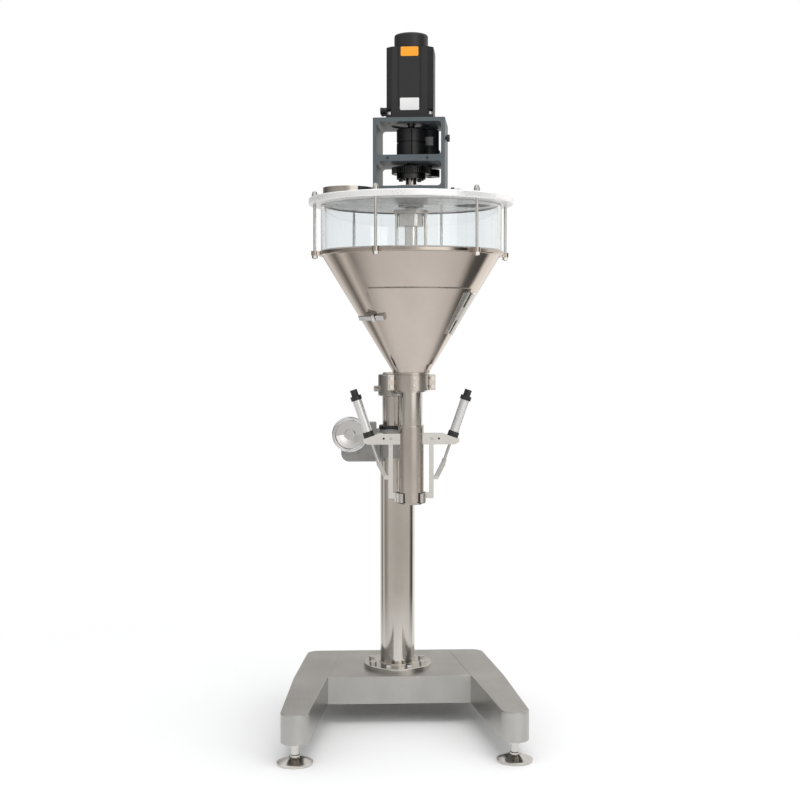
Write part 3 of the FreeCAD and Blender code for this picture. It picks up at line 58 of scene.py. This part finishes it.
# ---------------------------------------------------------------- node helpers
class Graph:
    """A small builder for one material's or the world's node tree."""

    def __init__(self, tree):
        self.tree = tree
        tree.nodes.clear()

    def add(self, kind, inputs=None, **settings):
        node = self.tree.nodes.new(kind)
        for key, value in settings.items():
            setattr(node, key, value)
        for key, value in (inputs or {}).items():
            self.put(value, node.inputs[key])
        return node

    def put(self, value, socket):
        if isinstance(value, bpy.types.NodeSocket):
            self.tree.links.new(value, socket)
        else:
            socket.default_value = value

    def math(self, operation, a, b=0.0):
        return self.add("ShaderNodeMath", {0: a, 1: b}, operation=operation).outputs[0]

    def place(self, stretch):
        """Object coordinates stretched along the axes."""
        coords = self.add("ShaderNodeTexCoord").outputs["Object"]
        return self.add("ShaderNodeMapping", {"Vector": coords, "Scale": stretch}).outputs[0]

    def noise(self, stretch, detail=3.0, roughness=0.55):
        node = self.add("ShaderNodeTexNoise", {"Vector": self.place(stretch), "Scale": 1.0,
                                               "Detail": detail, "Roughness": roughness})
        return node.outputs["Fac"]

    def span(self, value, low, high, start=0.3, end=0.7):
        """Map start..end of a value onto low..high."""
        node = self.add("ShaderNodeMapRange", {"Value": value, "From Min": start, "From Max": end,
                                               "To Min": low, "To Max": high})
        return node.outputs[0]

    def mix(self, factor, a, b):
        node = self.add("ShaderNodeMix", data_type="RGBA")
        self.put(factor, node.inputs[0])
        self.put(a, node.inputs[6])
        self.put(b, node.inputs[7])
        return node.outputs[2]

    def bump(self, height, strength, distance):
        node = self.add("ShaderNodeBump", {"Height": height, "Strength": strength,
                                           "Distance": distance})
        return node.outputs[0]


def shade(color, factor):
    """Colour made lighter or darker, with its alpha."""
    return tuple(min(1.0, c * factor) for c in color) + (1.0,)


def new_material(name):
    """A material with its node graph and its Principled shader."""
    material = bpy.data.materials.new(name)
    material.use_nodes = True
    graph = Graph(material.node_tree)
    shader = graph.add("ShaderNodeBsdfPrincipled")
    output = graph.add("ShaderNodeOutputMaterial")
    graph.put(shader.outputs[0], output.inputs["Surface"])
    return material, graph, shader


def metal(name, color, rough, lines, strength=0.12, vary=0.12, metallic=1.0):
    """Ground or polished metal: fine lines drawn out along one axis, with faint wide mottling."""
    material, graph, shader = new_material(name)
    fine = graph.noise(lines, 2.0)
    wide = graph.noise((9, 9, 5), 3.0)
    graph.put(metallic, shader.inputs["Metallic"])
    tone = graph.span(wide, 0.0, 1.0)
    graph.put(graph.mix(tone, shade(color, 1 - vary), shade(color, 1 + vary)),
              shader.inputs["Base Color"])
    base_rough = graph.span(wide, rough * 0.85, rough * 1.15)
    graph.put(graph.math("ADD", base_rough, graph.span(fine, -0.03, 0.05)),
              shader.inputs["Roughness"])
    graph.put(graph.bump(fine, strength, 0.0004), shader.inputs["Normal"])
    return material


def coated(name, color, rough, grain=900, strength=0.15, metallic=0.0, vary=0.1):
    """Paint, anodising, moulded plastic or rubber: a fine pebbled skin with slight fading."""
    material, graph, shader = new_material(name)
    fine = graph.noise((grain, grain, grain), 2.0)
    wide = graph.noise((14, 14, 10), 3.0)
    graph.put(metallic, shader.inputs["Metallic"])
    graph.put(graph.mix(graph.span(wide, 0.0, 1.0), shade(color, 1 - vary), shade(color, 1 + vary)),
              shader.inputs["Base Color"])
    graph.put(graph.math("ADD", graph.span(fine, -0.05, 0.05), rough), shader.inputs["Roughness"])
    graph.put(graph.bump(fine, strength, 0.0003), shader.inputs["Normal"])
    return material


def acrylic(name):
    """Clear acrylic sheet with a pale blue cast and faint rubbing marks."""
    material, graph, shader = new_material(name)
    marks = graph.noise((25, 25, 6), 4.0)
    graph.put((0.90, 0.925, 0.935, 1.0), shader.inputs["Base Color"])
    graph.put(1.0, shader.inputs["Transmission Weight"])
    graph.put(1.49, shader.inputs["IOR"])
    graph.put(graph.span(marks, 0.0, 0.03), shader.inputs["Roughness"])
    graph.put(graph.bump(marks, 0.05, 0.002), shader.inputs["Normal"])
    return material


ALONG_X = (6, 500, 500)
ALONG_Y = (500, 6, 500)
ALONG_Z = (420, 420, 5)
ROUND_Z = (3, 3, 900)
MIRROR = (60, 60, 8)
WAVY = (14, 14, 5)


def even(grain):
    """The same stretch along all three axes."""
    return (grain, grain, grain)


BASE_STEEL = (0.45, 0.44, 0.42)
TUBE_STEEL = (0.55, 0.52, 0.48)
CONE_STEEL = (0.50, 0.445, 0.40)
BRIGHT = (0.80, 0.79, 0.77)

# metal: colour, roughness, stretch of the lines, depth of the lines, variation, metallic.
# coated: colour, roughness, grain, depth of the grain, metallic, variation.
LOOKS = {
    "base_arm": metal("base_arm_steel", BASE_STEEL, 0.34, ALONG_Y, 0.2),
    "base_crossbar": metal("base_crossbar_steel", BASE_STEEL, 0.34, ALONG_X, 0.2),
    "foot": metal("foot_steel", (0.60, 0.58, 0.55), 0.16, ROUND_Z, 0.06),
    "column": metal("column_steel", TUBE_STEEL, 0.10, MIRROR, 0.04, 0.08),
    "flange": metal("flange_steel", (0.56, 0.54, 0.51), 0.2, even(80), 0.08),
    "sleeve": metal("sleeve_steel", (0.52, 0.48, 0.44), 0.2, ROUND_Z, 0.08),
    "cone": metal("cone_steel", CONE_STEEL, 0.12, WAVY, 0.10, 0.05),
    "bright": metal("bright_steel", BRIGHT, 0.2, even(120), 0.06, 0.05),
    "screw": metal("screw_steel", (0.62, 0.61, 0.6), 0.22, even(300), 0.1),
    "arm": metal("arm_steel", (0.42, 0.40, 0.37), 0.14, MIRROR, 0.05),
    "lid": metal("lid_aluminium", (0.93, 0.93, 0.93), 0.3, even(150), 0.02, 0.03, 0.4),
    "barrel": metal("barrel_aluminium", (0.82, 0.82, 0.82), 0.32, ALONG_Z, 0.05, 0.05, 0.7),
    "housing": metal("housing_aluminium", (0.5, 0.5, 0.5), 0.28, ROUND_Z, 0.12),
    "gearbox": coated("gearbox_grey", (0.33, 0.33, 0.32), 0.42, 500, 0.3, 0.6),
    "chrome": metal("wheel_chrome", (0.72, 0.72, 0.73), 0.06, even(20), 0.02, 0.05),
    "blackened": metal("blackened_steel", (0.07, 0.07, 0.07), 0.36, even(200), 0.15),
    "plate": coated("plate_black", (0.022, 0.022, 0.024), 0.42, 700),
    "frame": coated("frame_slate", (0.085, 0.105, 0.115), 0.45, 800, 0.25),
    "servo": coated("servo_black", (0.016, 0.016, 0.018), 0.42, 900, 0.25),
    "gearmotor": coated("gearmotor_grey", (0.05, 0.06, 0.066), 0.4, 600, 0.25),
    "rubber": coated("rubber_black", (0.02, 0.02, 0.02), 0.6, 500, 0.35),
    "gasket": coated("gasket_pale", (0.55, 0.55, 0.54), 0.55, 500, 0.2),
    "plastic": coated("plastic_black", (0.02, 0.02, 0.021), 0.34, 700, 0.2),
    "bronze": metal("bush_bronze", (0.55, 0.36, 0.16), 0.3, ROUND_Z, 0.1),
    "orange": coated("plate_orange", (0.90, 0.36, 0.02), 0.35, 400, 0.1, 0.0, 0.04),
    "white": coated("plate_white", (0.80, 0.80, 0.79), 0.35, 400, 0.1, 0.0, 0.04),
    "acrylic": acrylic("clear_acrylic"),
}

# The look of each CAD node.
NODE_LOOKS = {
    "base_arm": "base_arm_left base_arm_right",
    "base_crossbar": "base_crossbar",
    "foot": "foot_front_left foot_front_right foot_rear_left foot_rear_right foot_nuts",
    "column": "column_tube lift_tube filler_tube auger stirrer inlet_spigot",
    "flange": "column_flange",
    "screw": "column_bolts tie_rods clamp_link_left clamp_link_right jaw_pivot_pins"
             " clamp_rod_left clamp_rod_right latch_base latch_lever latch_keeper head_bolts",
    "plastic": "column_guide cylinder_caps inspection_cover",
    "gearbox": "lift_gearbox",
    "chrome": "handwheel",
    "arm": "head_arm",
    "bright": "clamp_arms clamp_jaw_left clamp_jaw_right hinge_leaf_door hinge_leaf_fixed",
    "sleeve": "collar_cap tube_hub spout_sleeve stirrer_hub",
    "cone": "hopper_cone hopper_door",
    "lid": "lid",
    "barrel": "cylinder_barrels",
    "housing": "bearing_housing quill_bearings",
    "blackened": "stirrer_gear stirrer_pinion",
    "plate": "drive_base_plate shaft_coupling",
    "frame": "drive_frame",
    "servo": "servo_motor",
    "gearmotor": "stirrer_motor",
    "rubber": "jaw_rubber_left jaw_rubber_right",
    "gasket": "cylinder_gaskets door_seal",
    "bronze": "shaft_bushes",
    "acrylic": "hopper_cylinder",
}

for look, names in NODE_LOOKS.items():
    for node_name in names.split():
        for material_slot in NODES[node_name].material_slots:
            material_slot.material = LOOKS[look]


# ---------------------------------------------------------------- mesh helpers
SHARP = math.radians(35)    # edges sharper than this stay crisp
SINK = 0.0002               # depth to which small pieces sink into their seat


def add_piece(name, mesh_builder, look, body):
    """Build a mesh and let it ride on a CAD body."""
    mesh = bpy.data.meshes.new(name)
    builder = bmesh.new()
    mesh_builder(builder)
    bmesh.ops.recalc_face_normals(builder, faces=builder.faces)
    builder.to_mesh(mesh)
    builder.free()
    mesh.polygons.foreach_set("use_smooth", [True] * len(mesh.polygons))
    mesh.set_sharp_from_angle(angle=SHARP)
    piece = bpy.data.objects.new(name, mesh)
    bpy.context.scene.collection.objects.link(piece)
    mesh.materials.append(LOOKS[look])
    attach(piece, body)


def basis(place, normal):
    """Matrix that sets local +Z along normal at place."""
    rotation = Vector(normal).to_track_quat("Z", "Y").to_matrix().to_4x4()
    return Matrix.Translation(place) @ rotation


def ring_of(builder, matrix, radius, height, steps):
    """Vertices of a circle about local Z, or one vertex where the radius is zero."""
    if radius == 0:
        return [builder.verts.new(matrix @ Vector((0, 0, height)))]
    angles = [2 * math.pi * k / steps for k in range(steps)]
    return [builder.verts.new(matrix @ Vector((radius * math.cos(a), radius * math.sin(a), height)))
            for a in angles]


def bridge(builder, rings):
    """Faces between each ring and the next."""
    for low, high in zip(rings, rings[1:]):
        for k in range(len(low)):
            n = (k + 1) % len(low)
            builder.faces.new([low[k], low[n], high[n], high[k]])


def cap(builder, rings):
    """Close the first and the last ring with one face each."""
    builder.faces.new(rings[0])
    builder.faces.new(rings[-1])


def lathe(builder, profile, matrix, steps=24):
    """Solid of revolution about local Z from (radius, height) points that start and end on it."""
    rings = [ring_of(builder, matrix, radius, height, steps) for radius, height in profile]
    for low, high in zip(rings, rings[1:]):
        for k in range(steps):
            n = (k + 1) % steps
            around = [low[k % len(low)], low[n % len(low)], high[n % len(high)], high[k % len(high)]]
            builder.faces.new(list(dict.fromkeys(around)))


def socket_screw(builder, place, normal, radius, height, steps=24):
    """Button-head screw with a hexagon socket, sunk a little into its seat."""
    matrix = basis(place, normal)
    rounded = 0.25 * radius
    profile = [(radius, -SINK), (radius, height - rounded),
               (radius - 0.3 * rounded, height - 0.3 * rounded), (radius - rounded, height)]
    rings = [ring_of(builder, matrix, r, z, steps) for r, z in profile]
    half_flat = radius * 0.5 * math.cos(math.pi / 6)

    def hexagon(z):
        points = []
        for k in range(steps):
            angle = 2 * math.pi * k / steps
            local = (angle + math.pi / 6) % (math.pi / 3) - math.pi / 6
            reach = half_flat / math.cos(local)
            spot = Vector((reach * math.cos(angle), reach * math.sin(angle), z))
            points.append(builder.verts.new(matrix @ spot))
        return points
    rings.append(hexagon(height))
    rings.append(hexagon(height * 0.35))
    bridge(builder, rings)
    cap(builder, rings)


def rounded_plate(builder, matrix, width, height, thick, corner, edge=0.0003):
    """Thin plate in local XY with round corners and a soft edge; local +Z faces out."""
    def outline(inset, z):
        points = []
        for sx, sy, start in ((1, 1, 0), (-1, 1, 90), (-1, -1, 180), (1, -1, 270)):
            for step in range(5):
                angle = math.radians(start + 22.5 * step)
                x = sx * (width / 2 - corner) + (corner - inset) * math.cos(angle)
                y = sy * (height / 2 - corner) + (corner - inset) * math.sin(angle)
                points.append(builder.verts.new(matrix @ Vector((x, y, z))))
        return points
    rings = [outline(0, -SINK), outline(0, thick - edge), outline(edge, thick)]
    bridge(builder, rings)
    cap(builder, rings)


def weld_bead(builder, path, radius, closed=False, sides=8):
    """Bead along a path of points, with the small swellings of a weld."""
    count = len(path)
    rings = []
    for index, point in enumerate(path):
        before = path[(index - 1) % count] if closed or index else point
        after = path[(index + 1) % count] if closed or index < count - 1 else point
        matrix = basis(point, (after - before).normalized())
        swell = radius * (1.0 + 0.12 * math.sin(index * 2.4))
        rings.append(ring_of(builder, matrix, swell, 0, sides))
    if closed:
        bridge(builder, rings + rings[:1])
    else:
        bridge(builder, rings)
        cap(builder, rings)


def circle_path(x, y, z, radius, steps=96):
    """Points of a level circle, from the front round to the right."""
    points = []
    for k in range(steps):
        angle = 2 * math.pi * k / steps
        points.append(Vector((x + radius * math.sin(angle), y - radius * math.cos(angle), z)))
    return points


def turned_dir(turn, x, y, z):
    """A direction turned about +Z."""
    return Matrix.Rotation(turn, 3, "Z") @ Vector((x, y, z))


def turned_point(turn, x, y, z):
    """A point turned about the filler axis, given from that axis."""
    return Matrix.Translation((FX, FY, 0)) @ Matrix.Rotation(turn, 4, "Z") @ Vector((x, y, z))


# ---------------------------------------------------------------- camera, stage, light
scene = bpy.context.scene
camera_data = bpy.data.cameras.new("camera")
camera = bpy.data.objects.new("camera", camera_data)
scene.collection.objects.link(camera)
scene.camera = camera
camera_data.sensor_width = 36.0
camera_data.lens = 60.0
CAMERA_BACK = 3.94          # distance of the camera in front of the column
camera.location = (-0.165, CY - CAMERA_BACK, 1.13)
AIM = Vector((0.0, 0.0, 0.94))
camera.rotation_euler = (AIM - camera.location).to_track_quat("-Z", "Y").to_euler()

scene.view_settings.view_transform = "Standard"

WHITE = (1.0, 1.0, 1.0, 1.0)
FLOOR_HALF = 14.0
SHADOW_REACH = 0.75         # the floor starts to turn plain white at this distance
SHADOW_END = 1.9            # and is plain white from here on

# Brightness around the studio tent by angle in degrees: 0 is the front (-Y), positive to the right.
TENT = [(-180, 0.6), (-150, 0.3), (-125, 0.12), (-100, 0.3), (-70, 0.5), (-30, 0.6), (-10, 0.55),
        (4, 0.9), (14, 1.5), (42, 1.5), (52, 0.25), (60, 0.06), (84, 0.08), (97, 0.35), (108, 1.0),
        (145, 1.0), (180, 0.6)]
# The same for the dark and pale sheets on the floor, which only reflections show.
SHEETS = [(-180, 0.8), (-150, 0.9), (-128, 0.2), (-112, 0.95), (-95, 0.3), (-60, 0.72), (0, 0.66),
          (50, 0.72), (85, 0.75), (100, 0.12), (118, 0.12), (127, 1.3), (150, 1.2), (180, 0.8)]


def fill_ramp(ramp, stops):
    """Set a colour ramp to slightly warm greys at the given angles."""
    elements = ramp.color_ramp.elements
    while len(elements) > 1:
        elements.remove(elements[-1])
    for index, (degrees, level) in enumerate(stops):
        spot = degrees / 360 + 0.5
        element = elements[0] if index == 0 else elements.new(spot)
        element.position = spot
        element.color = (level, level * 0.965, level * 0.925, 1)


def compass(graph, vector):
    """Angle of a vector about +Z as 0..1, where 0.5 is the front, and its height."""
    split = graph.add("ShaderNodeSeparateXYZ", {0: vector})
    back = graph.math("MULTIPLY", split.outputs[1], -1.0)
    angle = graph.math("ARCTAN2", split.outputs[0], back)
    return graph.math("ADD", graph.math("DIVIDE", angle, 2 * math.pi), 0.5), split.outputs[2]


def build_floor():
    """Pale floor that keeps the shadow near the machine and fades to white beyond it."""
    mesh = bpy.data.meshes.new("floor")
    signs = ((-1, -1), (1, -1), (1, 1), (-1, 1))
    mesh.from_pydata([(x * FLOOR_HALF, y * FLOOR_HALF, 0) for x, y in signs], [], [(0, 1, 2, 3)])
    floor = bpy.data.objects.new("floor", mesh)
    scene.collection.objects.link(floor)
    material, graph, shader = new_material("floor_white")
    cloud = graph.noise((0.8, 0.8, 0.8), 2.0)
    graph.put(graph.mix(cloud, (0.955, 0.955, 0.955, 1), (0.975, 0.975, 0.975, 1)),
              shader.inputs["Base Color"])
    graph.put(0.6, shader.inputs["Roughness"])
    graph.put(0.2, shader.inputs["Specular IOR Level"])
    place = graph.add("ShaderNodeTexCoord").outputs["Object"]
    reach = graph.add("ShaderNodeVectorMath", {0: place}, operation="LENGTH").outputs["Value"]
    far = graph.span(reach, 0.0, 1.0, SHADOW_REACH, SHADOW_END)
    ramp = graph.add("ShaderNodeValToRGB", {0: compass(graph, place)[0]})
    fill_ramp(ramp, SHEETS)
    rays = graph.add("ShaderNodeLightPath")
    seen = graph.mix(rays.outputs["Is Glossy Ray"], WHITE, ramp.outputs[0])
    glow = graph.add("ShaderNodeEmission", {"Color": seen, "Strength": 1.0})
    blend = graph.add("ShaderNodeMixShader", {0: far, 1: shader.outputs[0], 2: glow.outputs[0]})
    output = next(node for node in graph.tree.nodes if node.type == "OUTPUT_MATERIAL")
    graph.put(blend.outputs[0], output.inputs["Surface"])
    mesh.materials.append(material)


def build_world():
    """White to the eye and through glass; a studio tent with dark flags in the reflections."""
    world = bpy.data.worlds.new("studio")
    scene.world = world
    world.use_nodes = True
    graph = Graph(world.node_tree)
    rays = graph.add("ShaderNodeLightPath")
    seen = graph.math("MAXIMUM", rays.outputs["Is Camera Ray"],
                      rays.outputs["Is Transmission Ray"])
    direction = graph.add("ShaderNodeTexCoord").outputs["Generated"]
    turn, upward = compass(graph, direction)
    ramp = graph.add("ShaderNodeValToRGB", {0: turn})
    fill_ramp(ramp, TENT)
    height = graph.span(upward, 0.0, 1.0, 0.35, 0.75)
    reflected = graph.mix(height, ramp.outputs[0], WHITE)
    diffuse = (0.78, 0.785, 0.79, 1)
    other = graph.mix(rays.outputs["Is Glossy Ray"], diffuse, reflected)
    color = graph.mix(seen, other, WHITE)
    background = graph.add("ShaderNodeBackground", {"Color": color, "Strength": 1.0})
    output = graph.add("ShaderNodeOutputWorld")
    graph.put(background.outputs[0], output.inputs["Surface"])


def add_light(name, place, aim, size, energy):
    """A square soft light that reflections don't show."""
    data = bpy.data.lights.new(name, "AREA")
    data.size = size
    data.energy = energy
    light = bpy.data.objects.new(name, data)
    scene.collection.objects.link(light)
    light.location = place
    light.rotation_euler = (Vector(aim) - Vector(place)).to_track_quat("-Z", "Y").to_euler()
    light.visible_glossy = False


build_floor()
build_world()
add_light("overhead", (0.3, -0.4, 4.2), (0, 0, 0.6), 2.6, 70.0)
add_light("side", (2.6, -2.8, 2.4), (0, 0, 1.0), 1.8, 22.0)


# ---------------------------------------------------------------- drive
SERVO_FRONT = -0.064        # front face of the servo's body, from the filler axis
SERVO_SIDE = -0.064         # left face of the servo's body
FRAME_FRONT = -0.095        # front face of the drive frame
FRAME_SIDE = 0.0975         # right face of the drive frame
PLATE_TOP_Z = corners("drive_base_plate")[1].z
BOARD_T = 0.0009            # thickness of the bare rating plates
BOARD_CORNER = 0.003
# name, height of the centre, width, height of the plate, look
RATING_PLATES = (("servo_plate_upper", 1.8915, 0.048, 0.025, "orange"),
                 ("servo_plate_lower", 1.7505, 0.052, 0.033, "white"))
PLUG_Z = 1.744
PLUG_YS = (0.012, 0.040)
PLUG_PROFILE = [(0, -SINK), (0.0115, -SINK), (0.0115, 0.005), (0.0095, 0.0055), (0.0095, 0.015),
                (0.0102, 0.0155), (0.0102, 0.021), (0.009, 0.0225), (0, 0.0225)]
RAIL_SCREWS_X = (-0.057, 0.050)
RAIL_SCREWS_Z = 1.602
PLATE_SCREWS = ((0.118, -0.082), (0.118, 0.020), (-0.0905, -0.088))
KNOB_PLACE = (FRAME_SIDE, -0.070, 1.656)
KNOB_PROFILE = [(0, -SINK), (0.005, -SINK), (0.005, 0.003), (0.0095, 0.0035), (0.0100, 0.005),
                (0.0100, 0.010), (0.0092, 0.012), (0, 0.0125)]


def servo_dressing():
    """Bare rating plates on the servo's front, and the plugs on its left side."""
    front = turned_dir(DRIVE_TURN, 0, -1, 0)
    for name, z, width, height, look in RATING_PLATES:
        matrix = basis(turned_point(DRIVE_TURN, 0.0, SERVO_FRONT, z), front)
        add_piece(name, lambda b: rounded_plate(b, matrix, width, height, BOARD_T, BOARD_CORNER),
                  look, "head")

    def plugs(builder):
        left = turned_dir(DRIVE_TURN, -1, 0, 0)
        for y in PLUG_YS:
            lathe(builder, PLUG_PROFILE,
                  basis(turned_point(DRIVE_TURN, SERVO_SIDE, y, PLUG_Z), left))
    add_piece("servo_plugs", plugs, "plastic", "head")


def frame_dressing():
    """Screws of the cast frame, its base plate, and the knob on its right side."""
    def screws(builder):
        front = turned_dir(DRIVE_TURN, 0, -1, 0)
        for x in RAIL_SCREWS_X:
            place = turned_point(DRIVE_TURN, x, FRAME_FRONT, RAIL_SCREWS_Z)
            socket_screw(builder, place, front, 0.0032, 0.0018)
        for x, y in PLATE_SCREWS:
            place = turned_point(DRIVE_TURN, x, y, PLATE_TOP_Z)
            socket_screw(builder, place, (0, 0, 1), 0.0052, 0.0052)
    add_piece("frame_screws", screws, "blackened", "head")

    def knob(builder):
        right = turned_dir(DRIVE_TURN, 1, 0, 0)
        lathe(builder, KNOB_PROFILE, basis(turned_point(DRIVE_TURN, *KNOB_PLACE), right))
    add_piece("frame_knob", knob, "plastic", "head")


MOTOR_AZ = math.radians(52)         # where the stirring gearmotor stands about the filler axis
MOTOR_AT = 0.078
MOTOR_PLATE_R = 0.0262
MOTOR_PLATE_Z = (1.652, 1.676)
MOTOR_PLATE_DEPTHS = (-0.0004, 0.0006)


def gearmotor_plate():
    """Small bare plate wrapped on the stirring gearmotor, seen through the upper window."""
    middle = (MOTOR_AT * math.cos(MOTOR_AZ), MOTOR_AT * math.sin(MOTOR_AZ))

    def wrapped(builder):
        columns = []
        for k in range(9):
            angle = math.radians(-24 + 6 * k)
            column = []
            for depth in MOTOR_PLATE_DEPTHS:
                for z in MOTOR_PLATE_Z:
                    x = middle[0] + (MOTOR_PLATE_R + depth) * math.sin(angle)
                    y = middle[1] - (MOTOR_PLATE_R + depth) * math.cos(angle)
                    column.append(builder.verts.new(turned_point(DRIVE_TURN, x, y, z)))
            columns.append(column)
        for left, right in zip(columns, columns[1:]):
            for a, b in ((0, 1), (1, 3), (3, 2), (2, 0)):
                builder.faces.new([left[a], left[b], right[b], right[a]])
        for column in (columns[0], columns[-1]):
            builder.faces.new([column[0], column[1], column[3], column[2]])
    add_piece("gearmotor_plate", wrapped, "white", "head")


# ---------------------------------------------------------------- collar, clamp, welds
COLLAR_R = 0.052
COLLAR_SCREWS_Z = (0.9835, 1.0015)
BRACKET_SCREWS_X = (-0.077, 0.077)
BRACKET_SCREWS_Z = 0.8365
FLANGE_TOP_Z = corners("column_flange")[1].z
CONE_LOW_Z = corners("hopper_cone")[0].z
CONE_LOW_R = 0.051


def collar_and_clamp_screws():
    """Set screws on the collar's front and the small screws on the clamp bracket."""
    def collar(builder):
        front = turned_dir(HEAD_TURN, 0, -1, 0)
        for z in COLLAR_SCREWS_Z:
            socket_screw(builder, turned_point(HEAD_TURN, 0.0, -COLLAR_R, z), front, 0.0042, 0.0024)
    add_piece("collar_screws", collar, "screw", "head")
    front_y = corners("clamp_arms")[0].y

    def bracket(builder):
        for x in BRACKET_SCREWS_X:
            place = Vector((FX + x, front_y, BRACKET_SCREWS_Z))
            socket_screw(builder, place, (0, -1, 0), 0.0030, 0.0014)
    add_piece("bracket_screws", bracket, "blackened", "head")


def welds():
    """Beads where the column meets its flange, the cone its neck, and the arms the crossbar."""
    def column(builder):
        path = circle_path(0, CY, FLANGE_TOP_Z + 0.0005, COLUMN_R + 0.0008)
        weld_bead(builder, path, 0.0019, True)
    add_piece("column_weld", column, "flange", "base")

    def cone(builder):
        path = circle_path(FX, FY, CONE_LOW_Z + SINK, CONE_LOW_R + SINK)
        weld_bead(builder, path, 0.0011, True)
    add_piece("cone_weld", cone, "cone", "head")

    def corner(builder):
        low, high = corners("base_crossbar")
        start = low.z + 0.0005
        rise = 0.0765
        for side in (-1, 1):
            x = side * (high.x - SINK)
            path = [Vector((x, low.y - 0.0003, start + rise * k / 30)) for k in range(31)]
            weld_bead(builder, path, 0.0014)
    add_piece("corner_welds", corner, "base_crossbar", "base")


# ---------------------------------------------------------------- run
servo_dressing()
frame_dressing()
gearmotor_plate()
collar_and_clamp_screws()
welds()
